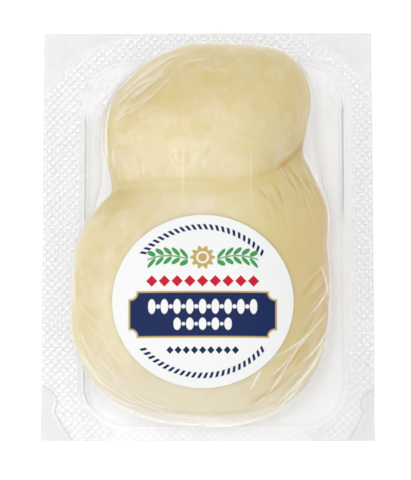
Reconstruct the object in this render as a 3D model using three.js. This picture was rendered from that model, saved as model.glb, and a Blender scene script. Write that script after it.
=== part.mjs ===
// A scamorza, vacuum packed in clear film. The cheese is a hand-shaped, pear-like piece of stretched curd:
// a broad body, a slanting shoulder, and a head pushed over to one side, with a pinched neck between.
// It lies on a flat back film, under a formed film that hugs it and drops to a rounded rectangular rim.
// Outside the rim the films are welded together as the sealed border. A round paper label lies on the body.
//
// Units are millimetres. +X is to the right and +Y towards the head, seen from above; +Z is up, from the back
// film towards the label. The origin is under the middle of the border, on the face that the pack lies on.

import * as THREE from "three";
import { mergeVertices } from "three/addons/utils/BufferGeometryUtils.js";

// Driving dimensions
const packWidth = 96;
const packLength = 119;
const filmThickness = 0.4;
const clearance = 0.3;
const cheeseHeight = 43;
const widestHeight = 19;
const labelAcross = 48.8;
const labelAlong = 46.4;
const labelThickness = 0.3;
const labelCentre = { x: -0.7, y: -22.1 };

// The rounded rectangle where the formed film turns up out of the border
const rim = { left: -35.9, right: 39.7, bottom: -55.6, top: 50.7, corner: 12 };
const rimStep = { inwards: 0.8, height: 1.8 };
const lipWidth = 0.5;

// The cheese's lobes: centre, half sizes, squareness, turn in degrees, and how far each is below the top
const lobes = {
  body: { x: -1.6, y: -19.3, halfWidth: 36.2, halfLength: 35.6, squareness: 2.5, turn: -3.6, drop: 0 },
  shoulder: { x: 0.7, y: -1.3, halfWidth: 33.6, halfLength: 18.1, squareness: 3.5, turn: 27, drop: 3.5 },
  head: { x: -1, y: 26, halfWidth: 28.6, halfLength: 26, squareness: 2.05, turn: 14.7, drop: 1.5 },
  crown: { x: 9.1, y: 33.6, halfWidth: 21.2, halfLength: 14.9, squareness: 2.35, turn: 30, drop: 5 },
};
const lobeSwell = 2.3;
const underside = 1.25;
const cheeseBlend = 4;
const neckBlend = 2;
const filmBlend = 9;
const footBlend = 2.5;

// The crease round the neck: straight at the left, curling up into a deep fold where shoulder and head meet
const crease = { y: 11, straightTo: 3, bend: 0.02, width: 3, depth: 1.2 };
const fold = { from: 14, to: 23, depth: 1.8 };
const creaseFade = { from: 14, to: 28 };

// The flat that was pressed on the head's upper left: the way it faces in plan and how far it looks up, in
// degrees, its distance from the origin, and how much its edge is rounded
const flat = { heading: 129.7, lift: 32, distance: 51.7, rounding: 1.5 };

// Where the film leaves the cheese's side: low where the cheese hangs over the rim, high where there is room
const leaving = { low: 9, high: 17, overhang: -2, room: 6 };

// The skirt's curve from there to the rim step: how far its two handles reach out and down
const skirtHandles = { firstOut: 0.05, firstDown: 0.5, secondOut: 0.5, secondDown: 0.9 };

// Detail: spokes round a piece, and rings from its top outwards
const cheeseSpokes = 80;
const cheeseRings = 24;
const filmSpokes = 96;
const domeRings = 14;
const skirtRings = 5;
const borderCornerSteps = 8;
const labelSpokes = 48;
const labelRings = 5;
const weldDistance = 1e-4;

const backTop = filmThickness;
const restHeight = backTop + clearance;
const rad = THREE.MathUtils.degToRad;
const mix = THREE.MathUtils.lerp;
const smooth = THREE.MathUtils.smoothstep;

// Shape of the cheese, as fields that are negative inside

function superellipse(a, b, power) {
  return (Math.abs(a) ** power + Math.abs(b) ** power) ** (1 / power);
}

function lobeField(lobe, p) {
  const turn = rad(lobe.turn);
  const dx = p.x - lobe.x;
  const dy = p.y - lobe.y;
  const across = (dx * Math.cos(turn) + dy * Math.sin(turn)) / lobe.halfWidth;
  const along = (dy * Math.cos(turn) - dx * Math.sin(turn)) / lobe.halfLength;
  const above = p.z - widestHeight;
  const rise = above > 0 ? cheeseHeight - lobe.drop - widestHeight : widestHeight * underside;
  const plan = superellipse(across, along, lobe.squareness);
  const reach = superellipse(plan, above / rise, lobeSwell);
  return (reach - 1) * Math.min(lobe.halfWidth, lobe.halfLength, cheeseHeight - lobe.drop - widestHeight);
}

function smoothUnion(a, b, blend) {
  const share = THREE.MathUtils.clamp(0.5 + (0.5 * (b - a)) / blend, 0, 1);
  return mix(b, a, share) - blend * share * (1 - share);
}

function smoothCut(a, b, blend) {
  return -smoothUnion(-a, -b, blend);
}

// How far a point is in front of the head's flat
function flatField(p) {
  const out = Math.cos(rad(flat.lift));
  const across = p.x * Math.cos(rad(flat.heading)) + p.y * Math.sin(rad(flat.heading));
  return across * out + p.z * Math.sin(rad(flat.lift)) - flat.distance;
}

function unionOfLobes(p, blend) {
  const lower = smoothUnion(lobeField(lobes.body, p), lobeField(lobes.shoulder, p), cheeseBlend);
  const upper = smoothUnion(lobeField(lobes.head, p), lobeField(lobes.crown, p), cheeseBlend);
  return smoothCut(smoothUnion(lower, upper, blend), flatField(p), flat.rounding);
}

function creaseDepth(p) {
  const middle = crease.y + crease.bend * Math.max(p.x - crease.straightTo, 0) ** 2;
  const depth = mix(crease.depth, fold.depth, smooth(p.x, fold.from, fold.to));
  const fade = smooth(p.z, creaseFade.from, creaseFade.to);
  return depth * fade * Math.exp(-(((p.y - middle) / crease.width) ** 2));
}

function cheeseField(p) {
  const blend = mix(cheeseBlend, neckBlend, smooth(p.x, fold.from, fold.to));
  const folded = unionOfLobes(p, blend) + creaseDepth(p);
  return smoothCut(folded, restHeight - p.z, footBlend);
}

// The formed film bridges the crease and is too stiff to follow the neck all the way in.
function filmField(p) {
  return unionOfLobes(p, filmBlend) - clearance;
}

// The distance along a ray, from inside, to where a field crosses zero
function reachAlong(field, origin, direction) {
  const point = new THREE.Vector3();
  const halvings = 40;
  let inside = 0;
  let outside = packLength;
  for (let i = 0; i < halvings; i++) {
    const middle = (inside + outside) / 2;
    point.copy(origin).addScaledVector(direction, middle);
    if (field(point) < 0) inside = middle;
    else outside = middle;
  }
  return inside;
}

function outwardNormal(field, p) {
  const step = 0.05;
  const slope = (axis) => {
    const high = p.clone();
    const low = p.clone();
    high[axis] += step;
    low[axis] -= step;
    return field(high) - field(low);
  };
  return new THREE.Vector3(slope("x"), slope("y"), slope("z")).normalize();
}

// Spokes: each runs out from a spine under the neck to its own point of the rim. The points are evenly
// spread, and the left half mirrors the right, so that two spokes share each place on the spine.
const spine = { x: (rim.left + rim.right) / 2, low: -16, high: 24 };

function rightHalfOfRim() {
  const path = new THREE.Path();
  path.moveTo(spine.x, rim.bottom);
  path.lineTo(rim.right - rim.corner, rim.bottom);
  path.absarc(rim.right - rim.corner, rim.bottom + rim.corner, rim.corner, -Math.PI / 2, 0, false);
  path.lineTo(rim.right, rim.top - rim.corner);
  path.absarc(rim.right - rim.corner, rim.top - rim.corner, rim.corner, 0, Math.PI / 2, false);
  path.lineTo(spine.x, rim.top);
  return path;
}

function spokesAround(count) {
  const path = rightHalfOfRim();
  const straight = { low: rim.bottom + rim.corner, high: rim.top - rim.corner };
  const spokes = [];
  for (let k = 0; k < count; k++) {
    const rimPoint = path.getPointAt(Math.min(k, count - k) / (count / 2));
    const share = THREE.MathUtils.clamp((rimPoint.y - straight.low) / (straight.high - straight.low), 0, 1);
    const origin = new THREE.Vector3(spine.x, mix(spine.low, spine.high, share), widestHeight);
    const side = k > count / 2 ? -1 : 1;
    const out = new THREE.Vector3(side * (rimPoint.x - spine.x), rimPoint.y - origin.y, 0).normalize();
    spokes.push({ origin, out });
  }
  return spokes;
}

function pointOn(spoke, distance, height) {
  return new THREE.Vector3(
    spoke.origin.x + spoke.out.x * distance,
    spoke.origin.y + spoke.out.y * distance,
    height,
  );
}

// Surface points at even angles, from straight up over the spine down to an elevation in degrees
function surfaceProfile(field, spoke, lowest, count) {
  const points = [];
  for (let i = 0; i <= count; i++) {
    const elevation = rad(mix(90, lowest, i / count));
    const ray = spoke.out.clone().multiplyScalar(Math.cos(elevation));
    ray.z = Math.sin(elevation);
    points.push(spoke.origin.clone().addScaledVector(ray, reachAlong(field, spoke.origin, ray)));
  }
  return points;
}

// Plan outlines

function roundedBoxField(p, box) {
  const halfWidth = (box.right - box.left) / 2;
  const halfLength = (box.top - box.bottom) / 2;
  const dx = Math.abs(p.x - (box.left + box.right) / 2) - halfWidth + box.corner;
  const dy = Math.abs(p.y - (box.top + box.bottom) / 2) - halfLength + box.corner;
  return Math.hypot(Math.max(dx, 0), Math.max(dy, 0)) + Math.min(Math.max(dx, dy), 0) - box.corner;
}

function grown(box, by) {
  return {
    left: box.left - by,
    right: box.right + by,
    bottom: box.bottom - by,
    top: box.top + by,
    corner: box.corner + by,
  };
}

function roundedBoxPath(box) {
  const path = new THREE.Path();
  const { left, right, bottom, top, corner } = box;
  path.moveTo(left + corner, bottom);
  path.absarc(right - corner, bottom + corner, corner, -Math.PI / 2, 0, false);
  path.absarc(right - corner, top - corner, corner, 0, Math.PI / 2, false);
  path.absarc(left + corner, top - corner, corner, Math.PI / 2, Math.PI, false);
  path.absarc(left + corner, bottom + corner, corner, Math.PI, (3 * Math.PI) / 2, false);
  return path;
}

// Meshes from grids of points, where grid[k][i] is ring i of spoke k and the spokes go round anticlockwise.
// Each four-sided patch is split along its shorter diagonal.

function addSheet(triangles, grid, facingUp) {
  for (let k = 0; k < grid.length; k++) {
    const here = grid[k];
    const next = grid[(k + 1) % grid.length];
    for (let i = 0; i + 1 < here.length; i++) {
      const [a, b, c, d] = [here[i], here[i + 1], next[i + 1], next[i]];
      const halves = a.distanceTo(c) < b.distanceTo(d) ? [[a, b, c], [a, c, d]] : [[b, c, d], [b, d, a]];
      for (const half of halves) triangles.push(facingUp ? half : half.toReversed());
    }
  }
}

function geometryOf(triangles) {
  const solid = triangles.filter(([a, b, c]) => {
    const shortest = Math.min(a.distanceTo(b), b.distanceTo(c), c.distanceTo(a));
    return shortest > weldDistance;
  });
  const positions = new Float32Array(solid.flatMap((face) => face.flatMap((p) => p.toArray())));
  const geometry = new THREE.BufferGeometry();
  geometry.setAttribute("position", new THREE.BufferAttribute(positions, 3));
  const merged = mergeVertices(geometry, weldDistance);
  merged.computeVertexNormals();
  return merged;
}

// A thin closed sheet: an upper and a lower grid of the same size, joined along their last ring
function sheetGeometry(upper, lower) {
  const triangles = [];
  addSheet(triangles, upper, true);
  addSheet(triangles, lower, false);
  const edge = upper.map((line, k) => [line[line.length - 1], lower[k][line.length - 1]]);
  addSheet(triangles, edge, true);
  return geometryOf(triangles);
}

// The cheese, from its top round to its flat underside

function cheeseGeometry() {
  const spokes = spokesAround(cheeseSpokes);
  const grid = spokes.map((spoke) => surfaceProfile(cheeseField, spoke, -90, cheeseRings));
  const triangles = [];
  addSheet(triangles, grid, true);
  return geometryOf(triangles);
}

// The formed film: down the cheese's side, off it to the rim step, and round the foot into a narrow lip

function filmProfile(spoke) {
  const rimDistance = reachAlong((p) => roundedBoxField(p, rim), spoke.origin, spoke.out);
  const widest = reachAlong(filmField, spoke.origin, spoke.out);
  const room = smooth(rimDistance - widest, leaving.overhang, leaving.room);
  const leaveHeight = mix(leaving.low, leaving.high, room);
  const lowest = THREE.MathUtils.radToDeg(Math.atan2(leaveHeight - widestHeight, widest));
  const dome = surfaceProfile(filmField, spoke, lowest, domeRings);
  const start = dome[domeRings];
  const stepTop = restHeight + rimStep.height;
  const startDistance = Math.hypot(start.x - spoke.origin.x, start.y - spoke.origin.y);
  const stepDistance = rimDistance - rimStep.inwards;
  const between = (out, down) => {
    return pointOn(spoke, mix(startDistance, stepDistance, out), mix(start.z, stepTop, down));
  };
  const skirt = new THREE.CubicBezierCurve3(
    start,
    between(skirtHandles.firstOut, skirtHandles.firstDown),
    between(skirtHandles.secondOut, skirtHandles.secondDown),
    between(1, 1),
  );
  const foot = pointOn(spoke, rimDistance, restHeight);
  const lip = pointOn(spoke, rimDistance + lipWidth, restHeight);
  return [...dome, ...skirt.getSpacedPoints(skirtRings).slice(1), foot, lip];
}

function formedFilmGeometry() {
  const inner = spokesAround(filmSpokes).map(filmProfile);
  const outer = inner.map((line, k) => thickened(inner, k));
  return sheetGeometry(outer, inner);
}

// One spoke of the film's outer face, moved out by its thickness along the grid's own normals
function thickened(grid, k) {
  const before = grid[(k + grid.length - 1) % grid.length];
  const after = grid[(k + 1) % grid.length];
  const footRing = grid[k].length - 2;
  return grid[k].map((p, i) => {
    if (i >= footRing) return p.clone().setZ(restHeight + filmThickness);
    const normal = i === 0 ? outwardNormal(filmField, p) : gridNormal(grid[k], before, after, i);
    return p.clone().addScaledVector(normal, filmThickness);
  });
}

function gridNormal(line, before, after, i) {
  const outwards = line[i + 1].clone().sub(line[i - 1]);
  const around = after[i].clone().sub(before[i]);
  return outwards.cross(around).normalize();
}

// The sealed border: flat all round, from just outside the lip to the edge of the pack

function sealedBorderGeometry() {
  const outline = new THREE.Shape();
  outline.moveTo(-packWidth / 2, -packLength / 2);
  outline.lineTo(packWidth / 2, -packLength / 2);
  outline.lineTo(packWidth / 2, packLength / 2);
  outline.lineTo(-packWidth / 2, packLength / 2);
  outline.holes.push(roundedBoxPath(grown(rim, lipWidth + clearance)));
  const geometry = new THREE.ExtrudeGeometry(outline, {
    depth: filmThickness,
    bevelEnabled: false,
    curveSegments: borderCornerSteps,
  });
  geometry.translate(0, 0, restHeight);
  return geometry;
}

// The label: a disc laid over the film

function labelGrid(lift) {
  const up = new THREE.Vector3(0, 0, 1);
  const lines = [];
  for (let k = 0; k < labelSpokes; k++) {
    const angle = (2 * Math.PI * k) / labelSpokes;
    const line = [];
    for (let i = 0; i <= labelRings; i++) {
      const x = labelCentre.x + (labelAcross / 2) * (i / labelRings) * Math.cos(angle);
      const y = labelCentre.y + (labelAlong / 2) * (i / labelRings) * Math.sin(angle);
      const inside = new THREE.Vector3(x, y, widestHeight);
      line.push(inside.clone().setZ(widestHeight + reachAlong(filmField, inside, up) + lift));
    }
    lines.push(line);
  }
  return lines;
}

function labelGeometry() {
  const underFace = filmThickness + clearance;
  return sheetGeometry(labelGrid(underFace + labelThickness), labelGrid(underFace));
}

// Materials

const cheeseMaterial = new THREE.MeshStandardMaterial({ color: 0xe6d8b2, roughness: 0.45, metalness: 0 });
const labelMaterial = new THREE.MeshStandardMaterial({ color: 0xf8f8f4, roughness: 0.5, metalness: 0 });
const filmMaterial = new THREE.MeshStandardMaterial({
  color: 0xf2f3f4,
  roughness: 0.15,
  metalness: 0,
  transparent: true,
  opacity: 0.3,
});

function named(name, geometry, material) {
  const mesh = new THREE.Mesh(geometry, material);
  mesh.name = name;
  return mesh;
}

const backSheet = new THREE.BoxGeometry(packWidth, packLength, filmThickness);
backSheet.translate(0, 0, filmThickness / 2);

const pack = new THREE.Group();
pack.add(named("back_film", backSheet, filmMaterial));
pack.add(named("cheese", cheeseGeometry(), cheeseMaterial));
pack.add(named("formed_film", formedFilmGeometry(), filmMaterial));
pack.add(named("sealed_border", sealedBorderGeometry(), filmMaterial));
pack.add(named("label", labelGeometry(), labelMaterial));

export default pack;
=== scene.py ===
# A vacuum-packed scamorza lying on a pale floor, seen from above. The cheese, the formed film, the sealed
# border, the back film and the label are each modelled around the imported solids, in metres.
import math
from contextlib import contextmanager

import bpy
import numpy as np
from mathutils import Matrix, Vector, noise


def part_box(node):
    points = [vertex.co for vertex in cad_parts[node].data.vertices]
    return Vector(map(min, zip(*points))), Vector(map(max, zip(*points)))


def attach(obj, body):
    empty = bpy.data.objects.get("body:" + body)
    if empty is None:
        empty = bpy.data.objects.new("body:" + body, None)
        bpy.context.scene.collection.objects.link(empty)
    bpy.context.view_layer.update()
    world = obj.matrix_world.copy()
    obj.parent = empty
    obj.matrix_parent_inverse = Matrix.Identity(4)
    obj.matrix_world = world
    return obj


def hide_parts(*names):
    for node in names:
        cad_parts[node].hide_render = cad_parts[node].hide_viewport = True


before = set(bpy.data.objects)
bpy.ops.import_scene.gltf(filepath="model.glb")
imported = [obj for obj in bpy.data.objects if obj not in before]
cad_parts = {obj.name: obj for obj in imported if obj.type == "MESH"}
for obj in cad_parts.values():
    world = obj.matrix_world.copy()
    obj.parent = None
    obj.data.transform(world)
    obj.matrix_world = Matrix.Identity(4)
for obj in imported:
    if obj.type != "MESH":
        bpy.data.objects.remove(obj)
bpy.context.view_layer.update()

MM = 0.001

# The rounded rectangle where the film turns up out of the border, as in the solids
RIM = {"left": -35.9 * MM, "right": 39.7 * MM, "bottom": -55.6 * MM, "top": 50.7 * MM, "corner": 12 * MM}
LIP = 0.5 * MM
MEETING = 0.03 * MM

CHEESE_CELL = 0.6 * MM
SMOOTHING_ROUNDS = 28
FILM_WALL = 0.2 * MM
WELD = 0.001 * MM

# Pleats in the film: each runs from one place past a second to a third, in mm in plan
PLEATS_AT_HEAD = (
    ((-25.1, 28.2), (-14.3, 31.5), (-6.9, 43.3)),
    ((-6.9, 43.3), (-3.7, 44.5), (2.6, 45.1)),
    ((-24.0, 36.2), (-20.4, 38.4), (-10.1, 48.9)),
    ((-23.3, 35.0), (-18.0, 39.4), (-10.6, 40.8)),
    ((-21.9, 33.5), (-17.6, 35.2), (-9.2, 42.9)),
    ((-19.8, 40.7), (-17.5, 40.2), (-7.9, 48.0)),
    ((-21.9, 30.5), (-19.5, 31.5), (-10.8, 36.2)),
    ((-25.4, 27.4), (-23.7, 29.2), (-20.4, 30.4)),
    ((-24.6, 32.8), (-22.8, 35.0), (-20.0, 36.5)),
    ((-15.4, 43.6), (-11.0, 46.6), (-4.4, 47.3)),
    ((-25.6, 21.4), (-25.6, 17.8), (-25.0, 15.2)),
)
PLEATS_AT_EDGE = (
    ((-25.4, 38.0), (-29.0, 26.5), (-26.6, 15.0)),
    ((-27.0, 30.0), (-28.2, 22.0), (-27.2, 12.5)),
    ((26.4, 20.2), (29.0, 14.0), (33.2, 6.4)),
)
FAINT_PLEATS = (
    ((-8.9, 20.3), (-8.4, 18.5), (-7.3, 15.1)),
    ((-3.4, 18.3), (-3.5, 16.1), (-3.4, 14.0)),
    ((-2.5, 18.8), (-2.5, 16.9), (-2.5, 15.0)),
    ((0.3, 17.2), (-0.1, 15.3), (-0.5, 13.4)),
    ((-17.3, 16.6), (-17.1, 13.9), (-16.7, 11.1)),
    ((-23.8, 14.2), (-23.9, 13.0), (-23.7, 11.2)),
    ((-6.0, 22.1), (-6.1, 12.1), (-6.0, 2.2)),
    ((12.4, 22.3), (12.6, 12.0), (12.3, 2.3)),
)
PLEATS_AT_NECK = (
    ((-25.9, 11.8), (-27.9, 7.7), (-32.3, 3.2)),
    ((-27.7, 10.7), (-30.9, 7.5), (-33.2, -0.4)),
    ((27.3, 19.1), (31.3, 11.4), (34.1, 1.0)),
    ((26.7, 17.9), (29.3, 14.2), (31.8, 6.7)),
    ((25.3, 19.4), (27.0, 17.9), (27.6, 14.1)),
    ((18.9, 13.2), (19.3, 18.4), (23.6, 26.4)),
    ((18.6, 14.6), (20.2, 12.6), (22.6, 9.8)),
    ((20.6, 13.6), (23.4, 10.0), (25.6, 4.8)),
    ((21.8, 14.6), (25.2, 10.4), (27.0, 5.4)),
    ((22.6, 16.2), (26.0, 12.4), (28.8, 6.6)),
    ((14.6, 9.6), (18.0, 6.0), (19.6, 0.6)),
    ((19.6, 12.0), (21.5, 6.2), (22.8, -2.8)),
    ((17.0, 9.9), (19.0, 8.2), (20.5, 4.8)),
    ((15.9, 9.3), (17.5, 4.7), (19.1, -2.2)),
    ((22.8, 13.5), (25.3, 9.4), (26.6, 2.7)),
    ((24.7, 12.1), (27.8, 6.7), (29.7, -0.9)),
)
PLEATS_AT_RIGHT = (
    ((34.5, -22.4), (26.3, -34.8), (15.2, -38.4)),
    ((33.9, -15.9), (33.3, -20.1), (26.7, -27.5)),
    ((34.6, -26.1), (31.8, -34.1), (24.5, -39.3)),
    ((28.7, -29.8), (26.0, -33.0), (23.6, -35.6)),
    ((23.6, -35.6), (21.2, -39.7), (16.6, -42.7)),
    ((32.7, -30.0), (31.5, -38.9), (20.5, -48.7)),
    ((21.7, -38.1), (20.1, -44.6), (13.1, -49.6)),
    ((31.7, -32.3), (29.3, -41.3), (19.1, -48.5)),
    ((30.4, -35.3), (26.7, -44.6), (21.3, -47.4)),
    ((15.5, -40.0), (14.0, -42.7), (10.9, -47.5)),
    ((28.4, -38.9), (26.2, -43.8), (17.5, -50.9)),
    ((26.3, -43.8), (23.8, -47.4), (18.1, -51.6)),
    ((33.0, -21.0), (35.4, -25.5), (33.1, -33.2)),
    ((30.7, -10.8), (33.3, -15.3), (33.6, -20.9)),
    ((26.9, -29.6), (23.7, -37.6), (16.9, -46.4)),
)
PLEATS_AT_FOOT = (
    ((-35.4, -31.6), (-33.0, -41.0), (-23.4, -45.2)),
    ((-33.5, -36.4), (-30.7, -43.8), (-21.2, -47.9)),
    ((-28.0, -44.8), (-23.8, -49.8), (-13.1, -51.4)),
    ((-31.5, -42.9), (-27.3, -47.4), (-19.5, -50.3)),
    ((-23.7, -46.6), (-21.3, -48.7), (-16.6, -49.8)),
    ((-20.6, -45.3), (-15.9, -50.0), (-8.4, -50.9)),
    ((-34.5, -29.3), (-33.1, -33.5), (-30.2, -37.6)),
    ((-29.9, -35.5), (-26.4, -41.5), (-19.2, -45.3)),
    ((-24.5, -44.7), (-12.4, -54.0), (-0.8, -52.0)),
    ((-0.8, -52.0), (8.6, -53.3), (15.3, -50.4)),
    ((-26.5, -47.8), (-9.8, -57.0), (0.5, -54.7)),
    ((0.5, -54.7), (13.0, -56.4), (21.6, -48.9)),
    ((-36.3, -10.3), (-36.7, -18.6), (-36.0, -25.1)),
)

# How each group of pleats shows, and the fans: height in mm, whiteness, and whether on steep film too
PLEAT_GROUPS = (
    (PLEATS_AT_HEAD, 0.16, 0.5, False),
    (PLEATS_AT_EDGE, 0.16, 0.8, True),
    (FAINT_PLEATS, 0.06, 0.15, False),
    (PLEATS_AT_NECK, 0.1, 0.25, False),
    (PLEATS_AT_RIGHT, 0.22, 0.8, False),
    (PLEATS_AT_FOOT, 0.16, 0.5, False),
)
FAN_LOOK = (0.09, 0.32, False)

# Fans of fine pleats, in mm and degrees: each pleat sets off from somewhere along a line between two places
FANS = (
    {"line": ((33.6, -10.0), (29.0, -38.0)), "turn": 232, "reach": (6, 15), "count": 13},
    {"line": ((28.0, -38.0), (14.0, -50.0)), "turn": 214, "reach": (6, 13), "count": 6},
    {"line": ((-35.6, -20.0), (-24.0, -45.0)), "turn": -52, "reach": (7, 16), "count": 9},
    {"line": ((-24.0, 29.0), (-13.0, 40.0)), "turn": 48, "reach": (4, 11), "count": 9},
    {"line": ((19.6, 14.0), (27.0, 16.0)), "turn": -62, "reach": (5, 10), "count": 5},
)

# Crumples in the loose film beside the head, given as pleats are
CRUMPLES = (
    ((-31.5, 33.0), (-29.5, 42.5), (-23.0, 46.5)),
    ((-24.0, 46.0), (-17.0, 50.0), (-9.0, 51.5)),
)

# How finely an arc is divided, how wide pleats and their white lines are, and how high loose film rises
ARC_STEPS = 10
PLEAT_WIDTH = 0.45 * MM
WHITE_WIDTH = 0.28 * MM
CRUMPLE_WIDTH = 2.2 * MM
CRUMPLE_RISE = 0.5 * MM
LOOSE_RISE = 0.8 * MM

BORDER_CELL = 0.29 * MM
BORDER_UNDER = 0.45 * MM
BORDER_TOP = 0.95 * MM
BACK_CELL = 1.5 * MM
BACK_TOP = 0.4 * MM
DIMPLE_PITCH = 2.37 * MM
DIMPLE_HEIGHT = 0.05 * MM

# Corners of the border that the plate left smooth: which corner, how far it reaches along both edges, and the
# powers that bend its line, first near the end of the border and then where the line runs out along the side
SMOOTH_CORNERS = (
    {"side": (-1, 1), "reach": (29 * MM, 20.5 * MM), "powers": (0.62, 0.62)},
    {"side": (1, 1), "reach": (23 * MM, 19 * MM), "powers": (0.68, 0.68)},
    {"side": (-1, -1), "reach": (8.8 * MM, 15.4 * MM), "powers": (0.9, 1.6)},
    {"side": (1, -1), "reach": (7.2 * MM, 14.2 * MM), "powers": (0.9, 1.6)},
)
CORNER_BEAD = 0.12 * MM
SHEET_WAVE = 0.09 * MM
FLAT_SHEET_ANGLE = math.radians(50)

# The crease round the neck, in mm: straight at the left, then curling up into the fold
CREASE = {"level": 11.0, "straight_to": 3.0, "bend": 0.015, "steep_from": 19.0, "curl": 0.055}

# The way that the flat on the head faces
FLAT_FACING = Vector((-0.542, 0.652, 0.53))

# Golden lines in the cheese beside the fold and down its right side, as places in plan in mm
GOLDEN_LINES = (
    ((32.4, -9.0), (29.6, -17.0), (24.6, -22.0)),
    ((32.6, -19.0), (30.0, -26.0), (26.0, -31.0)),
    ((31.6, -27.0), (28.4, -35.0), (23.6, -39.6)),
    ((27.6, -32.0), (24.0, -38.0), (17.0, -44.0)),
    ((24.0, -41.0), (19.0, -46.0), (11.0, -49.6)),
    ((14.0, 9.0), (17.4, 6.4), (20.4, 1.0)),
    ((19.6, 14.2), (22.4, 12.2), (26.8, 5.8)),
    ((22.0, 15.6), (25.4, 12.4), (27.6, 7.0)),
    ((24.0, 16.0), (27.4, 12.6), (30.2, 6.2)),
    ((28.4, 12.4), (31.2, 9.4), (33.2, 2.6)),
    ((18.4, 11.0), (19.6, 7.6), (22.6, 3.0)),
)

# Soft patches on the cheese and its film, in mm in plan: the middle of each, then its reach both ways
MIDDLE_OF_HEAD = (-6, 34, 19, 10)
LEFT_OF_NECK = (-3, 7, 15, 12)
LEFT_OF_LABEL = (-29, -20, 4, 14)
# Where a painted highlight lies on the cheese's rim above the fold
LIT_ABOVE_FOLD = (20.5, 20, 3, 4)
LOOSE_AT_LEFT = (-29, 40, 6, 9)
LOOSE_AT_RIGHT = (35, 40, 4, 7)

# The label: its sheet, and the ellipse that it makes when seen from above, to place its print
LABEL_WALL = 0.16 * MM
LABEL_LIFT = 0.05 * MM
LABEL_CENTRE = Vector((-0.7, -22.1)) * MM
LABEL_HALF = Vector((24.4, 23.2)) * MM
LABEL_RINGS = 24
LABEL_RING = 0.95 * MM
LABEL_ANGLE = math.radians(40)


# Modelling helpers


def make_active(piece):
    bpy.ops.object.select_all(action="DESELECT")
    piece.select_set(True)
    bpy.context.view_layer.objects.active = piece


@contextmanager
def editing(piece, mode="FACE"):
    """Opens a piece in edit mode, with the faces, edges or vertices selected that were chosen before."""
    make_active(piece)
    bpy.ops.object.mode_set(mode="EDIT")
    bpy.ops.mesh.select_mode(type=mode)
    yield
    bpy.ops.object.mode_set(mode="OBJECT")


def choose(elements, chosen):
    elements.foreach_set("select", np.asarray(chosen, bool))


def choose_faces(piece, chosen):
    """Selects some of a piece's faces, and nothing else."""
    mesh = piece.data
    choose(mesh.vertices, np.zeros(len(mesh.vertices)))
    choose(mesh.edges, np.zeros(len(mesh.edges)))
    choose(mesh.polygons, chosen)


def choose_all(piece):
    for elements in (piece.data.vertices, piece.data.edges, piece.data.polygons):
        choose(elements, np.ones(len(elements)))


def read(elements, name):
    """One vector of each point or face, such as its place or normal."""
    values = np.empty(len(elements) * 3)
    elements.foreach_get(name, values)
    return values.reshape(-1, 3)


def points_of(piece):
    return read(piece.data.vertices, "co")


def put_points(piece, points):
    piece.data.vertices.foreach_set("co", points.ravel())
    piece.data.update()


def push_out(piece, amounts):
    """Moves each point of a piece along its own normal."""
    put_points(piece, points_of(piece) + read(piece.data.vertices, "normal") * amounts[:, None])


def save_attribute(piece, name, values):
    """Keeps one number for each point, for the material to read."""
    attribute = piece.data.attributes.new(name, "FLOAT", "POINT")
    attribute.data.foreach_set("value", values)


def apply_modifier(piece, kind, **settings):
    make_active(piece)
    modifier = piece.modifiers.new(kind.lower(), kind)
    for name, value in settings.items():
        setattr(modifier, name, value)
    bpy.ops.object.modifier_apply(modifier=modifier.name)


def node_copy(node, name):
    """A piece that starts as a copy of a solid, with its loose triangles merged."""
    piece = bpy.data.objects.new(name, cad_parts[node].data.copy())
    piece.data.name = name
    piece.data.materials.clear()
    bpy.context.scene.collection.objects.link(piece)
    make_active(piece)
    bpy.ops.mesh.customdata_custom_splitnormals_clear()
    choose_all(piece)
    with editing(piece, "VERT"):
        bpy.ops.mesh.remove_doubles(threshold=WELD)
    return piece


def finish_piece(piece, material, node, smooth_angle=math.pi):
    """Gives a piece its material, and sets it to stand for its solid."""
    piece.data.materials.append(material)
    make_active(piece)
    bpy.ops.object.shade_smooth_by_angle(angle=smooth_angle)
    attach(piece, "root")
    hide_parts(node)


def smooth_step(low, high, value):
    share = np.clip((value - low) / (high - low), 0, 1)
    return share * share * (3 - 2 * share)


def hump(value, width):
    """1 where a value is 0, falling off on both sides."""
    return np.exp(-((value / width) ** 2))


def patch(x, y, place):
    """1 in the middle of a soft patch in plan, falling off all round."""
    across, along, half_width, half_length = place
    return np.exp(-(((x - across) / half_width) ** 2) - ((y - along) / half_length) ** 2)


def curve_through(start, middle, end):
    """Plan points, in metres, along an arc between two places that is pulled towards a third."""
    share = np.linspace(0, 1, ARC_STEPS + 1)[:, None]
    start, middle, end = (np.array(place) * MM for place in (start, middle, end))
    return start * (1 - share) ** 2 + 2 * middle * share * (1 - share) + end * share**2


def fan(line, turn, reach, count, seed):
    """Pleats that set off from along a line, all in about the same direction, a little bent."""
    chance = np.random.default_rng(seed)
    start, end = (np.array(place) for place in line)
    pleats = []
    for share in (np.arange(count) + chance.uniform(0.1, 0.9, count)) / count:
        angle = math.radians(turn + chance.uniform(-9, 9))
        step = np.array([math.cos(angle), math.sin(angle)]) * chance.uniform(*reach)
        aside = np.array([-step[1], step[0]]) * chance.uniform(-0.12, 0.2)
        place = start + (end - start) * share - step * chance.uniform(0, 0.25)
        pleats.append((place, place + step * 0.5 + aside, place + step))
    return pleats


def nearest_on(route, points):
    """For each point, its distance in plan to a route, and how far along the route that is, from 0 to 1."""
    away = np.full(len(points), np.inf)
    along = np.zeros(len(points))
    for i, (a, b) in enumerate(zip(route[:-1], route[1:])):
        step = b - a
        share = np.clip(((points[:, :2] - a) @ step) / (step @ step), 0, 1)
        distance = np.linalg.norm(points[:, :2] - a - share[:, None] * step, axis=1)
        nearer = distance < away
        away[nearer] = distance[nearer]
        along[nearer] = (i + share[nearer]) / (len(route) - 1)
    return away, along


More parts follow.
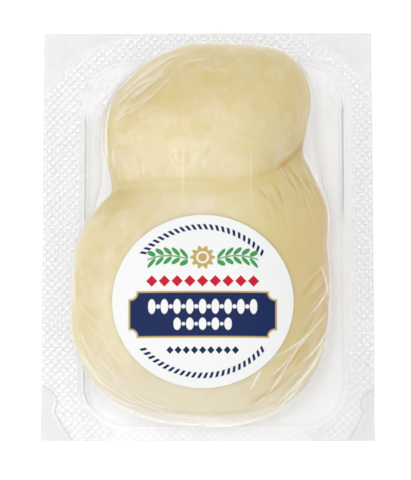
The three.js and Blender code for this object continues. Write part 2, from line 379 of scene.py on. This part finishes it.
def ridge(route, points, width):
    """1 along a route, falling off on both sides and fading out towards both ends."""
    low, high = route.min(axis=0) - 3 * width, route.max(axis=0) + 3 * width
    near = ((points[:, :2] > low) & (points[:, :2] < high)).all(axis=1)
    heights = np.zeros(len(points))
    away, along = nearest_on(route, points[near])
    heights[near] = hump(away, width) * np.sin(np.pi * along)
    return heights


def ridges(routes, points, width):
    return np.max([ridge(route, points, width) for route in routes], axis=0)


def rounded_box_distance(points, box, grow=0.0):
    """Signed distance in plan to a rounded rectangle: negative inside."""
    centre = np.array([box["left"] + box["right"], box["bottom"] + box["top"]]) / 2
    half = np.array([box["right"] - box["left"], box["top"] - box["bottom"]]) / 2
    past = np.abs(points[:, :2] - centre) - half + box["corner"]
    outside = np.linalg.norm(np.maximum(past, 0), axis=1)
    return outside + np.minimum(past.max(axis=1), 0) - box["corner"] - grow


def waves(points, size, seed):
    """Gentle unevenness, from about -1 to 1."""
    shift = Vector((seed, seed * 2, 0))
    return np.array([noise.noise(Vector(point) / size + shift) for point in points])


def lumps(points):
    """The hand-shaped curd's own unevenness, which the film over it follows."""
    uneven = waves(points, 12 * MM, 2) * 0.3 + waves(points, 5 * MM, 4) * 0.08
    return uneven * smooth_step(6 * MM, 16 * MM, points[:, 2]) * MM


def add_sheet(name, low, high, cell):
    """A flat grid of about square cells, as wide and as long as the box between two corners."""
    across, along = high.x - low.x, high.y - low.y
    bpy.ops.object.select_all(action="DESELECT")
    bpy.ops.mesh.primitive_grid_add(
        x_subdivisions=round(across / cell),
        y_subdivisions=round(along / cell),
        size=1,
    )
    sheet = bpy.context.object
    sheet.name = sheet.data.name = name
    put_points(sheet, points_of(sheet) * (across, along, 1))
    return sheet


def thicken_down(sheet, bottom):
    """Closes a sheet with a flat underside at some height. Its points follow after those of the sheet."""
    count = len(sheet.data.vertices)
    apply_modifier(sheet, "SOLIDIFY", thickness=FILM_WALL, offset=-1)
    points = points_of(sheet)
    points[count:, :2] = points[:count, :2]
    points[count:, 2] = bottom
    put_points(sheet, points)


# Camera, lights and floor

CAMERA_TARGET = Vector((-0.61, -1.34, 0)) * MM
CAMERA_DISTANCE = 0.56
CAMERA_LENS = 144.14
TILT_DOWN = math.radians(5.94)
TILT_RIGHT = math.radians(0.9)

# Lights: the middle and size of each in metres, and how bright it looks
WORLD_STRENGTH = 0.88
OVERHEAD = {"middle": (-1.217, -0.235, 1.0), "size": (3.57, 1.33), "radiance": 0.9}
SMALL_LAMP = {"middle": (-0.27, -0.005, 0.79), "size": (0.07, 0.07), "radiance": 9}

# How many clear faces light passes before it is taken for dark
CLEAR_FACES = 32


def add_camera():
    data = bpy.data.cameras.new("camera")
    data.lens = CAMERA_LENS
    data.sensor_width = 36
    camera = bpy.data.objects.new("camera", data)
    bpy.context.scene.collection.objects.link(camera)
    back = Vector((math.sin(TILT_RIGHT), -math.sin(TILT_DOWN), math.cos(TILT_DOWN) * math.cos(TILT_RIGHT)))
    back.normalize()
    across = Vector((0, 1, 0)).cross(back).normalized()
    upright = back.cross(across)
    turn = Matrix((across, upright, back)).transposed().to_4x4()
    camera.matrix_world = Matrix.Translation(CAMERA_TARGET + back * CAMERA_DISTANCE) @ turn
    bpy.context.scene.camera = camera


def add_softbox(name, middle, size, radiance):
    """A square-on light above the pack. The radiance is what its reflection shows."""
    data = bpy.data.lights.new(name, "AREA")
    data.shape = "RECTANGLE"
    data.size, data.size_y = size
    data.energy = radiance * math.pi * size[0] * size[1]
    light = bpy.data.objects.new(name, data)
    bpy.context.scene.collection.objects.link(light)
    light.location = middle


def add_lights():
    bpy.context.scene.view_settings.view_transform = "Standard"
    bpy.context.scene.cycles.transparent_max_bounces = CLEAR_FACES
    world = bpy.data.worlds.new("studio")
    bpy.context.scene.world = world
    world.use_nodes = True
    background = world.node_tree.nodes["Background"]
    background.inputs["Color"].default_value = (1, 1, 1, 1)
    background.inputs["Strength"].default_value = WORLD_STRENGTH
    add_softbox("overhead", **OVERHEAD)
    add_softbox("small_lamp", **SMALL_LAMP)


# Materials


class Wire:
    """A socket that gives a value, so that sums of values are written as sums. Each adds a Math node."""

    def __init__(self, finish, socket):
        self.finish = finish
        self.socket = socket

    def math(self, operation, *values):
        return self.finish.node("ShaderNodeMath", {"operation": operation}, dict(enumerate(values)))

    def __add__(self, other):
        return self.math("ADD", self, other)

    def __sub__(self, other):
        return self.math("SUBTRACT", self, other)

    def __rsub__(self, other):
        return self.math("SUBTRACT", other, self)

    def __mul__(self, other):
        return self.math("MULTIPLY", self, other)

    def __truediv__(self, other):
        return self.math("DIVIDE", self, other)

    def __pow__(self, other):
        return self.math("POWER", self, other)

    __radd__ = __add__
    __rmul__ = __mul__


class Finish:
    """A material that is built up node by node."""

    def __init__(self, name):
        self.material = bpy.data.materials.new(name)
        self.material.use_nodes = True
        self.tree = self.material.node_tree
        self.tree.nodes.clear()

    def node(self, kind, settings=None, inputs=None, output=0):
        """Adds a node: its settings first, then the values or wires of its sockets. Gives an output."""
        node = self.tree.nodes.new(kind)
        for name, value in (settings or {}).items():
            setattr(node, name, value)
        for name, value in (inputs or {}).items():
            if isinstance(value, Wire):
                self.tree.links.new(value.socket, node.inputs[name])
            else:
                node.inputs[name].default_value = value
        return Wire(self, node.outputs[output]) if node.outputs else None

    def mix(self, share, first, second):
        """A colour between two colours."""
        inputs = {"Factor": share, 6: first, 7: second}
        return self.node("ShaderNodeMix", {"data_type": "RGBA"}, inputs, 2)

    def blend(self, value, low, high):
        """0 below one value and 1 above another, with a smooth change between."""
        inputs = {"Value": value, "From Min": low, "From Max": high}
        return self.node("ShaderNodeMapRange", {"interpolation_type": "SMOOTHSTEP"}, inputs)

    def place(self):
        return self.node("ShaderNodeTexCoord", output="Object")

    def axes(self, place):
        """The X, Y and Z of a vector, each as a wire."""
        parts = self.node("ShaderNodeSeparateXYZ", inputs={0: place})
        return [Wire(self, output) for output in parts.socket.node.outputs]

    def cloud(self, place, scale, detail=2, roughness=0.5, distortion=0.0):
        """Soft noise from 0 to 1. Scale is in patches to the metre."""
        inputs = {
            "Vector": place,
            "Scale": scale,
            "Detail": detail,
            "Roughness": roughness,
            "Distortion": distortion,
        }
        return self.node("ShaderNodeTexNoise", inputs=inputs)

    def streaks(self, place, width, length):
        """Soft noise in upright streaks of some width and length."""
        inputs = {"Vector": place, "Scale": (1 / width, 1 / length, 1 / length)}
        return self.cloud(self.node("ShaderNodeMapping", inputs=inputs), 1, distortion=0.5)

    def bump(self, height, distance, strength=1.0):
        inputs = {"Strength": strength, "Distance": distance, "Height": height}
        return self.node("ShaderNodeBump", inputs=inputs, output="Normal")

    def attribute(self, name):
        return self.node("ShaderNodeAttribute", {"attribute_name": name}, output="Fac")

    def surface(self, **inputs):
        """The material's Principled shader. Underscores in the names stand for spaces."""
        named = {name.replace("_", " "): value for name, value in inputs.items()}
        shader = self.node("ShaderNodeBsdfPrincipled", inputs=named)
        self.node("ShaderNodeOutputMaterial", inputs={"Surface": shader})
        return self.material


def srgb(red, green, blue):
    """A colour given as it looks on screen, from 0 to 255, in the linear values that a shader takes."""
    shares = [value / 255 for value in (red, green, blue)]
    return [s / 12.92 if s <= 0.04045 else ((s + 0.055) / 1.055) ** 2.4 for s in shares] + [1]


def floor_finish():
    finish = Finish("pale_floor")
    grain = finish.cloud(finish.place(), 900)
    return finish.surface(
        Base_Color=(0.97, 0.97, 0.97, 1),
        Roughness=0.7,
        Normal=finish.bump(grain, 0.02 * MM),
    )


def cheese_finish():
    finish = Finish("pale_cheese")
    place = finish.place()
    broad = finish.cloud(place, 28, 3, 0.55)
    fine = finish.cloud(place, 160, 4, 0.6)
    cream = srgb(208, 195, 155)
    golden = srgb(201, 183, 118)
    white = srgb(222, 212, 190)
    chalky_and_highlight = srgb(216, 208, 188)
    tan = srgb(190, 154, 86)
    marbled = finish.cloud(place, 125, 5, 0.6, 1.2)
    toned = finish.mix(finish.blend(broad, 0.35, 0.7) * 0.5, cream, golden)
    veined = finish.mix(finish.blend(marbled, 0.46, 0.62) * 0.7, toned, golden)
    mottled = finish.mix(finish.blend(fine, 0.52, 0.66) * 0.35, veined, white)
    # Chalky from the first attribute, with a painted highlight on the rim above the fold
    paled = finish.mix(finish.attribute("pale_and_highlight"), mottled, chalky_and_highlight)
    # Golden from the second attribute: painted shadow and shade at the crease, partly painted shade down the
    # right side, elsewhere the cheese's own tone
    warmed = finish.mix(finish.attribute("golden_and_shade"), paled, golden)
    # Tan from the last attribute: painted shade in the fold and down the right edge, elsewhere the cheese's
    # own tone
    colour = finish.mix(finish.attribute("tan_and_shade"), warmed, tan)
    relief = broad * 0.5 + fine * 0.5
    return finish.surface(
        Base_Color=colour,
        Roughness=0.5 + fine * 0.15,
        Subsurface_Weight=0.25,
        Subsurface_Radius=(1.0, 0.75, 0.4),
        Subsurface_Scale=2.5 * MM,
        Normal=finish.bump(relief, 0.15 * MM, 0.5),
    )


def film_finish(name, tone, haze, glint, cover, crinkle, streaked=0.0):
    """Clear film: a faint mirror, stronger at a glancing angle. Where it is pleated or pressed it turns
    milky, and milky also paints some highlights; it is darker along its edges, and darker still where shade
    is painted at sharp bends and in hollows. Film that is drawn tight is also streaked."""
    finish = Finish(name)
    place = finish.place()
    milky = finish.attribute("milky")
    edge = finish.attribute("edge")
    broad = finish.cloud(place, 150, distortion=1.0)
    streaks = finish.streaks(place, 1.2 * MM, 12 * MM) * streaked
    facing_away = finish.node("ShaderNodeLayerWeight", inputs={"Blend": 0.5}, output="Facing")
    clear = glint * (0.8 + finish.blend(broad, 0.4, 0.7) * 0.5) + facing_away**5 * 0.5
    toned = finish.mix(milky, tone, haze)
    grey = srgb(140, 140, 142)
    return finish.surface(
        Base_Color=finish.mix(edge, toned, grey),
        Metallic=(1 - milky) * (1 - edge),
        Roughness=0.22 + streaks * 0.06,
        Alpha=clear + milky * cover + edge * 0.4,
        Normal=finish.bump(broad + streaks * 0.02, crinkle),
    )


class Print:
    """Shapes printed on the label, as masks. Places are in label radii from its centre."""

    edge = 0.008

    def __init__(self, finish, place):
        x, y, _ = finish.axes(place)
        self.finish = finish
        self.across = (x - LABEL_CENTRE.x) / LABEL_HALF.x
        self.up = (y - LABEL_CENTRE.y) / LABEL_HALF.y
        self.sideways = self.size(self.across)

    def size(self, value):
        return value.math("ABSOLUTE", value)

    def within(self, value, limit, edge=None):
        """1 where a value is below a limit, with a soft edge."""
        edge = edge or self.edge
        return 1 - self.finish.blend(value, limit - edge, limit + edge)

    def reach(self, across, up):
        return (across * across + up * up) ** 0.5

    def repeat(self, value, pitch):
        """How far each place is from the middle of its repeat, from -0.5 to 0.5."""
        share = value / pitch
        return share.math("FRACT", share) - 0.5

    def rope_arcs(self, radius, width, strokes):
        """Slanted strokes along the top and bottom of the label, so many to each."""
        pitch = math.radians(4.3)
        reach = self.reach(self.across, self.up)
        turn = reach.math("ARCTAN2", self.across, self.size(self.up)) + (reach - radius) * 0.6
        band = self.within(self.size(reach - radius), width)
        stroke = self.within(self.size(self.repeat(turn, pitch)), 0.26, 0.06)
        return band * stroke * self.within(self.size(turn), pitch * strokes / 2)

    def lozenges(self, level, half_height, pitch, half_span):
        """A row of lozenges."""
        share = self.size(self.repeat(self.across + pitch / 2, pitch)) * 2
        slope = share + self.size(self.up - level) / half_height
        return self.within(slope, 0.9, 0.05) * self.within(self.sideways, half_span)

    def beads(self, level, half_height, pitch, half_span):
        """Upright ovals with a dot between each two."""
        offset = self.size(self.repeat(self.across + pitch / 2, pitch))
        rise = self.up - level
        oval = self.within(self.reach(offset / 0.3, rise / half_height), 1, 0.08)
        dot = self.within(self.reach((0.5 - offset) * pitch, rise), half_height * 0.28)
        return (oval + dot) * self.within(self.sideways, half_span)

    def sprigs(self, level, start, end, pitch):
        """Two sprigs of paired leaves, one to each side."""
        stem = level + 0.03 - (self.sideways - (start + end) / 2) ** 2 * 0.9
        rise = self.size(self.up - stem)
        along = self.repeat(self.sideways - start, pitch) * pitch
        lean = math.radians(42)
        out = rise - 0.055
        length = along * math.cos(lean) + out * math.sin(lean)
        width = out * math.cos(lean) - along * math.sin(lean)
        leaf = self.within(self.reach(length / 0.062, width / 0.024), 1, 0.1)
        span = self.within(self.size(self.sideways - (start + end) / 2), (end - start) / 2)
        return leaf * span, self.within(rise, 0.008) * span

    def flower(self, level, radius, petals):
        rise = self.up - level
        turn = rise.math("ARCTAN2", rise, self.across)
        petal = turn.math("COSINE", turn * petals) * radius * 0.16
        reach = self.reach(self.across, rise)
        return self.within(reach - petal, radius), self.within(self.size(reach - radius * 0.5), radius * 0.09)

    def panel(self, level, half_width, half_height, notch, grow=0.0):
        """A wide panel with a round bite out of each corner."""
        past_side = self.sideways - half_width
        past_top = self.size(self.up - level) - half_height
        bite = notch - self.reach(past_side, past_top)
        past = past_side.math("MAXIMUM", past_side, past_top)
        return self.within(past.math("MAXIMUM", past, bite), grow)


def label_finish():
    finish = Finish("printed_paper")
    place = finish.place()
    sheet = Print(finish, place)
    navy, red = srgb(6, 30, 78), srgb(182, 12, 40)
    green, gold, paper = srgb(58, 140, 72), srgb(178, 152, 88), srgb(220, 221, 220)
    leaves, stems = sheet.sprigs(0.49, 0.16, 0.61, 0.09)
    petals, ring = sheet.flower(0.5, 0.12, 10)
    panel = {"level": -0.16, "half_width": 0.8, "half_height": 0.25, "notch": 0.09}
    layers = (
        (sheet.rope_arcs(0.86, 0.032, 24), navy),
        (leaves, green),
        (stems, green),
        (petals, gold),
        (ring, paper),
        (sheet.lozenges(0.225, 0.075, 0.14, 0.63), red),
        (sheet.panel(**panel, grow=0.02), gold),
        (sheet.panel(**panel), navy),
        (sheet.beads(-0.07, 0.085, 0.14, 0.6), paper),
        (sheet.beads(-0.27, 0.07, 0.14, 0.32), paper),
        (sheet.lozenges(-0.57, 0.05, 0.09, 0.4), navy),
    )
    colour = paper
    for mask, ink in layers:
        colour = finish.mix(mask, colour, ink)
    grain = finish.cloud(place, 2500, 3, 0.6)
    return finish.surface(
        Base_Color=colour,
        Roughness=0.45,
        Specular_IOR_Level=0.15,
        Normal=finish.bump(grain, 0.01 * MM),
    )


# Cheese


def make_cheese():
    cheese = node_copy("cheese", "scamorza")
    apply_modifier(cheese, "REMESH", mode="VOXEL", voxel_size=CHEESE_CELL)
    apply_modifier(cheese, "SMOOTH", factor=0.5, iterations=SMOOTHING_ROUNDS)
    points = points_of(cheese)
    x, y, z = (points / MM).T
    middle = CREASE["level"] + CREASE["bend"] * np.maximum(x - CREASE["straight_to"], 0) ** 2
    above = y - middle - CREASE["curl"] * np.maximum(x - CREASE["steep_from"], 0) ** 2
    pinch = smooth_step(6, 20, x)
    in_fold = smooth_step(16, 20, x)
    high_up = smooth_step(12, 26, z)
    groove = hump(above, 0.5) * (0.25 + 0.35 * pinch - 0.3 * in_fold)
    lip = hump(above - 1.6, 1.2) * 0.2
    push_out(cheese, (lip - groove) * high_up * MM + lumps(points))
    # Golden: painted shadow below the crease and painted shade along it, painted shade mixed with the
    # cheese's own tone down the right side, and the cheese's own tone along the lines and on the head
    right = smooth_step(-4, 24, x)
    lines = ridges([curve_through(*line) for line in GOLDEN_LINES], points, 0.5 * MM) * high_up
    shade_in_crease = hump(above + 0.1, 0.5) * high_up
    shadow_below_crease = hump(above + 2.0, 2.6) * high_up
    lit_above_fold = patch(x, y, LIT_ABOVE_FOLD)
    right_share = 0.65 - 0.45 * smooth_step(15, 26, y) - 0.4 * smooth_step(-35, -50, y) - lit_above_fold * 0.4
    head = patch(x, y, MIDDLE_OF_HEAD)
    golden_and_shade = shadow_below_crease * 0.6 + shade_in_crease * 0.3 + right * right_share + lines * 0.7 + head * 0.25
    save_attribute(cheese, "golden_and_shade", np.minimum(golden_and_shade, 1))
    # Chalky at the neck, beside the label and towards the foot, and a painted highlight on the rim above the
    # fold
    neck = patch(x, y, LEFT_OF_NECK)
    beside_label = patch(x, y, LEFT_OF_LABEL)
    foot = smooth_step(-22, -50, y)
    pale_and_highlight = neck * 0.45 + beside_label * 0.3 + lit_above_fold * 0.4 + foot * 0.65
    save_attribute(cheese, "pale_and_highlight", np.minimum(pale_and_highlight, 1))
    # Tan: painted shade in the fold and down the right edge, and the cheese's own tone at the left edge of
    # the head, on the flat of the head, on the head and along the lines
    tan_and_shade = hump(above - 0.3, 1.4) * smooth_step(18, 22, x)
    far_left = smooth_step(-29.2, -30.4, x) * smooth_step(24, 28, y) * smooth_step(36, 32, y) * 0.6
    shade_at_right = (smooth_step(12, 34, x) * 0.35 + smooth_step(29, 34, x) * 0.3) * smooth_step(-40, -20, y)
    pressed_flat = smooth_step(0.95, 0.985, read(cheese.data.vertices, "normal") @ FLAT_FACING) * 0.25
    tan_and_shade_marks = np.maximum.reduce([tan_and_shade, far_left, shade_at_right, pressed_flat, head * 0.2, lines * 0.75])
    save_attribute(cheese, "tan_and_shade", tan_and_shade_marks)
    finish_piece(cheese, cheese_finish(), "cheese")


# Formed film


def keep_outer_face(piece):
    """Of a film's two faces, keeps the outer: cuts the low wall that joins them and drops the inner one."""
    mesh = piece.data
    centres = read(mesh.polygons, "center")
    normals = read(mesh.polygons, "normal")
    heights = points_of(piece)[:, 2]
    highest = np.array([heights[list(face.vertices)].max() for face in mesh.polygons])
    wall_top = BORDER_TOP + 0.3 * MM
    is_wall = (highest < wall_top) & (np.abs(normals[:, 2]) < 0.3) & (centres[:, 2] > 0)
    choose_faces(piece, is_wall)
    with editing(piece):
        bpy.ops.mesh.delete(type="FACE")
    choose_all(piece)
    with editing(piece):
        bpy.ops.mesh.separate(type="LOOSE")
    faces = [obj for obj in bpy.context.selected_objects if obj.type == "MESH"]
    outer = max(faces, key=lambda obj: points_of(obj)[:, 2].max())
    for obj in faces:
        if obj is not outer:
            bpy.data.objects.remove(obj)
    outer.name = outer.data.name = "formed_film_skin"
    return outer


def refine(piece, chosen):
    """Divides some of a piece's faces into four each."""
    choose_faces(piece, chosen)
    with editing(piece):
        bpy.ops.mesh.subdivide(number_cuts=1, smoothness=0)


def make_film():
    outer = keep_outer_face(node_copy("formed_film", "formed_film_skin"))
    choose_all(outer)
    with editing(outer):
        bpy.ops.mesh.tris_convert_to_quads(face_threshold=math.radians(50), shape_threshold=math.radians(80))
    inner = outer.copy()
    inner.data = outer.data.copy()
    bpy.context.scene.collection.objects.link(inner)
    apply_modifier(outer, "SUBSURF", levels=2, render_levels=2)
    apply_modifier(inner, "SUBSURF", levels=1, render_levels=1)
    push_out(inner, np.full(len(inner.data.vertices), -FILM_WALL))
    choose_all(inner)
    with editing(inner):
        bpy.ops.mesh.flip_normals()
    raise_pleats(outer)
    make_active(outer)
    inner.select_set(True)
    bpy.ops.object.join()
    choose_all(outer)
    with editing(outer, "EDGE"):
        bpy.ops.mesh.select_all(action="DESELECT")
        bpy.ops.mesh.select_non_manifold()
        bpy.ops.mesh.bridge_edge_loops()
    finish = film_finish(
        "clear_film",
        tone=srgb(250, 250, 250),
        haze=srgb(252, 252, 252),
        glint=0.03,
        cover=0.6,
        crinkle=0.09 * MM,
        streaked=1.0,
    )
    finish_piece(outer, finish, "formed_film")
    return outer


def rim_line_strength(points):
    """How clearly the bends at the rim show: well on the long straight sides, hardly elsewhere."""
    x, y, _ = (points / MM).T
    left = smooth_step(-30, -33, x) * smooth_step(38, 32, y) * smooth_step(-52, -48, y)
    right = smooth_step(34, 37, x) * smooth_step(42, 36, y) * smooth_step(0, 12, y)
    return np.maximum(left, right)


def loose_film(points):
    """1 in the two top corners, where the film hangs loose and crumpled beside the head."""
    x, y, z = (points / MM).T
    left = patch(x, y, LOOSE_AT_LEFT)
    right = patch(x, y, LOOSE_AT_RIGHT) * 0.6
    return np.maximum(left, right) * smooth_step(26, 18, z)


def refine_for_pleats(film, routes, crumples):
    """Makes the mesh fine along the pleats, and a little finer where the film is loose."""
    for distance in (0.75 * MM, 0.38 * MM):
        refine(film, ridges(routes, read(film.data.polygons, "center"), distance) > 0.2)
    centres = read(film.data.polygons, "center")
    refine(film, (ridges(crumples, centres, 2.5 * MM) > 0.2) | (loose_film(centres) > 0.25))


def raise_pleats(film):
    fine_pleats = [pleat for seed, setting in enumerate(FANS) for pleat in fan(**setting, seed=seed)]
    groups = [
        ([curve_through(*pleat) for pleat in pleats], *look)
        for pleats, *look in ((fine_pleats, *FAN_LOOK), *PLEAT_GROUPS)
    ]
    crumples = [curve_through(*crumple) for crumple in CRUMPLES]
    refine_for_pleats(film, [route for group in groups for route in group[0]], crumples)
    points = points_of(film)
    x, y, z = points.T
    normals = read(film.data.vertices, "normal")
    on_top = smooth_step(0.12, 0.38, normals[:, 2])
    rise = np.zeros(len(points))
    whiteness = np.zeros(len(points))
    for routes, height, white, everywhere in groups:
        shown = np.maximum(on_top, everywhere)
        rise = np.maximum(rise, ridges(routes, points, PLEAT_WIDTH) * height * MM * shown)
        whiteness = np.maximum(whiteness, ridges(routes, points, WHITE_WIDTH) * white * shown)
    crumpled = ridges(crumples, points, CRUMPLE_WIDTH) * smooth_step(30 * MM, 24 * MM, z)
    uneven = waves(points, 2.2 * MM, 5)
    drawn_out = waves(points * (0.3, 1, 1), 3 * MM, 6)
    rise += crumpled * uneven * CRUMPLE_RISE
    # Painted highlights on the crests of the crumples
    whiteness = np.maximum(whiteness, crumpled * smooth_step(0.05, 0.5, uneven) * 0.9)
    # Hazy where the film comes down the front of the body
    well_up = smooth_step(14 * MM, 22 * MM, z)
    front = smooth_step(0.6, 0.45, normals[:, 2]) * smooth_step(0.45, 0.75, -normals[:, 1]) * well_up
    front *= smooth_step(27 * MM, 12 * MM, x)
    low_front = smooth_step(-32 * MM, -50 * MM, y) * well_up * 0.1
    # A painted highlight on the shoulder and a painted line of shade at the foot, at the two bends of the rim
    from_rim = rounded_box_distance(points, RIM)
    low_down = smooth_step(5 * MM, 3 * MM, z)
    shoulder_highlight = hump(from_rim + 0.95 * MM, 0.3 * MM) * low_down
    foot_shade = hump(from_rim + 0.2 * MM, 0.3 * MM) * low_down
    seen = rim_line_strength(points)
    loose = loose_film(points)
    rise += loose * uneven * LOOSE_RISE
    whiteness = np.maximum.reduce([
        whiteness,
        front * (0.2 + 0.55 * hump(x, 15 * MM) + 0.25 * drawn_out),
        low_front,
        shoulder_highlight * (0.15 + 0.6 * seen),
        # Loose film: a faint haze, with painted highlights on the crests of its crumples
        loose * (0.12 + smooth_step(0.1, 0.4, uneven) * 0.7),
    ])
    push_out(film, rise + lumps(points))
    save_attribute(film, "milky", whiteness)
    # Painted shade: in the hollows of the loose film, and along the foot of the rim
    shade_in_hollows = smooth_step(0.05, 0.4, -uneven)
    save_attribute(film, "edge", np.maximum(foot_shade * seen, loose * shade_in_hollows * 0.3))


# Sealed border


def dimple_pattern(points):
    """Round dimples where the sealing plate pressed: rows both ways, with one more in the middle of each
    four. 1 at a dimple's middle, 0 halfway down its side, and down to -1 between the dimples."""
    across, along = np.cos(points[:, :2] * math.tau / DIMPLE_PITCH).T
    return across * along


def corner_values(points):
    """How far each point is from the nearest smooth corner of the border: under 1 inside one."""
    low, high = (np.array(end)[:2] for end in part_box("sealed_border"))
    values = []
    for corner in SMOOTH_CORNERS:
        tip = np.where(np.array(corner["side"]) > 0, high, low)
        shares = np.abs(points[:, :2] - tip) / corner["reach"]
        first, last = corner["powers"]
        power = first + (last - first) * smooth_step(0.5, 0.85, shares[:, 1])
        values.append((shares ** power[:, None]).sum(axis=1))
    return np.min(values, axis=0)


def cut_opening(border):
    """Cuts out the middle, where the formed film stands, and draws the points beside the cut onto its line.
    Gives the points, and how far each lay from the line."""
    centres = read(border.data.polygons, "center")
    choose_faces(border, rounded_box_distance(centres, RIM, LIP + MEETING) < 0)
    with editing(border):
        bpy.ops.mesh.delete(type="FACE")
    points = points_of(border)
    away = rounded_box_distance(points, RIM, LIP + MEETING)
    step = 0.01 * MM
    slope = np.stack([
        rounded_box_distance(points + offset, RIM) - rounded_box_distance(points - offset, RIM)
        for offset in (np.array([step, 0, 0]), np.array([0, step, 0]))
    ], axis=1) / (2 * step)
    near = away < BORDER_CELL * 0.72
    points[near, :2] -= away[near, None] * slope[near]
    return points, away


def make_border():
    low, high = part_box("sealed_border")
    border = add_sheet("dimpled_border", low, high, BORDER_CELL)
    points, away = cut_opening(border)
    points[:, 2] = BORDER_TOP
    corner = corner_values(points)
    x, y, _ = points.T
    # Where the plate pressed: not beside the opening or in the corners, and lightly along the end
    at_foot = smooth_step(0, -20 * MM, y)
    faint = smooth_step(low.y + 9 * MM, low.y + 6 * MM, y) * smooth_step(34 * MM, 24 * MM, np.abs(x)) * 0.7
    plain = 0.3 * MM + smooth_step(30 * MM, 38 * MM, x) * smooth_step(-36 * MM, -26 * MM, y) * 1.6 * MM
    weak = smooth_step(10 * MM, 34 * MM, x) * smooth_step(-34 * MM, -46 * MM, y) * 0.3
    from_corner = smooth_step(1.0 + 0.03 * at_foot, 1.14 - 0.04 * at_foot, corner)
    pressed = smooth_step(plain, plain + 0.6 * MM, away) * from_corner * (1 - faint) * (1 - weak)
    # A bead round the smooth corners at the foot: raised a little, with a painted highlight along it
    bead = hump(corner - 0.98, 0.035) * at_foot
    pattern = dimple_pattern(points)
    dimples = (0.5 + 0.5 * pattern) ** 1.5 * pressed
    # The spots are whitened where the plate pressed, and also stand for painted highlights on the dimples
    spots = smooth_step(-0.6, 0.95, pattern) * pressed
    points[:, 2] += dimples * DIMPLE_HEIGHT + bead * CORNER_BEAD + waves(points, 14 * MM, 3) * SHEET_WAVE
    put_points(border, points)
    # Milky spots, and a painted highlight along the bead
    milky = np.maximum(0.07 + spots * 0.62 - faint * 0.04, bead * 0.6)
    from_side = np.minimum(x - low.x, high.x - x)
    from_end = np.minimum(y - low.y, high.y - y)
    outline = smooth_step(0.3 * MM, 0, np.minimum(from_side, from_end)) * 0.6
    toward_side = smooth_step(8 * MM, 1 * MM, from_side) * (pressed - spots) * 0.14
    # A painted line of shade beside the bead
    shade_beside_bead = hump(corner - 1.05, 0.025) * at_foot * 0.6
    edge = np.maximum.reduce([outline, toward_side, shade_beside_bead])
    thicken_down(border, BORDER_UNDER)
    smooth = smooth_step(1.1, 0.95, corner)
    save_attribute(border, "milky", np.concatenate([milky, 0.17 + smooth * 0.13 - faint * 0.22]))
    save_attribute(border, "edge", np.concatenate([edge, smooth * (0.1 + 0.08 * at_foot)]))
    finish = film_finish(
        "sealed_film",
        tone=srgb(205, 205, 208),
        haze=srgb(252, 252, 252),
        glint=0.035,
        cover=0.85,
        crinkle=0.01 * MM,
    )
    finish_piece(border, finish, "sealed_border", FLAT_SHEET_ANGLE)


# Back film and label


def make_back_film():
    low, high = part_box("back_film")
    back = add_sheet("back_sheet", low, high, BACK_CELL)
    points = points_of(back)
    inside = smooth_step(0, 4 * MM, -rounded_box_distance(points, RIM))
    points[:, 2] = BACK_TOP - (1 + waves(points, 18 * MM, 7)) * inside * SHEET_WAVE * 0.8
    put_points(back, points)
    apply_modifier(back, "SOLIDIFY", thickness=FILM_WALL, offset=-1)
    x, y, _ = points_of(back).T
    save_attribute(back, "milky", np.full(len(x), 0.3))
    # Painted shade towards the lower right, near the cheese
    save_attribute(back, "edge", smooth_step(8 * MM, 30 * MM, x) * smooth_step(-25 * MM, -45 * MM, y) * 0.12)
    finish = film_finish(
        "back_film",
        tone=srgb(240, 240, 242),
        haze=srgb(244, 247, 253),
        glint=0.035,
        cover=0.6,
        crinkle=0.008 * MM,
    )
    finish_piece(back, finish, "back_film", FLAT_SHEET_ANGLE)


def make_label(film):
    low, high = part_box("label")
    bpy.ops.object.select_all(action="DESELECT")
    bpy.ops.mesh.primitive_circle_add(vertices=192, radius=0.5, fill_type="NGON")
    label = bpy.context.object
    label.name = label.data.name = "round_label"
    points = points_of(label) * (high.x - low.x, high.y - low.y, 1)
    points += ((low.x + high.x) / 2, (low.y + high.y) / 2, high.z + 10 * MM)
    put_points(label, points)
    choose_all(label)
    with editing(label):
        for _ in range(LABEL_RINGS):
            bpy.ops.mesh.inset(thickness=LABEL_RING)
    apply_modifier(
        label,
        "SHRINKWRAP",
        target=film,
        wrap_method="PROJECT",
        use_project_z=True,
        use_negative_direction=True,
        use_positive_direction=False,
        offset=LABEL_LIFT,
        wrap_mode="ABOVE_SURFACE",
    )
    apply_modifier(label, "SOLIDIFY", thickness=LABEL_WALL, offset=1)
    finish_piece(label, label_finish(), "label", LABEL_ANGLE)


def add_floor():
    bpy.ops.object.select_all(action="DESELECT")
    bpy.ops.mesh.primitive_plane_add(size=6)
    floor = bpy.context.object
    floor.name = floor.data.name = "floor"
    floor.data.materials.append(floor_finish())


add_camera()
add_lights()
add_floor()
make_cheese()
film_skin = make_film()
make_border()
make_back_film()
make_label(film_skin)
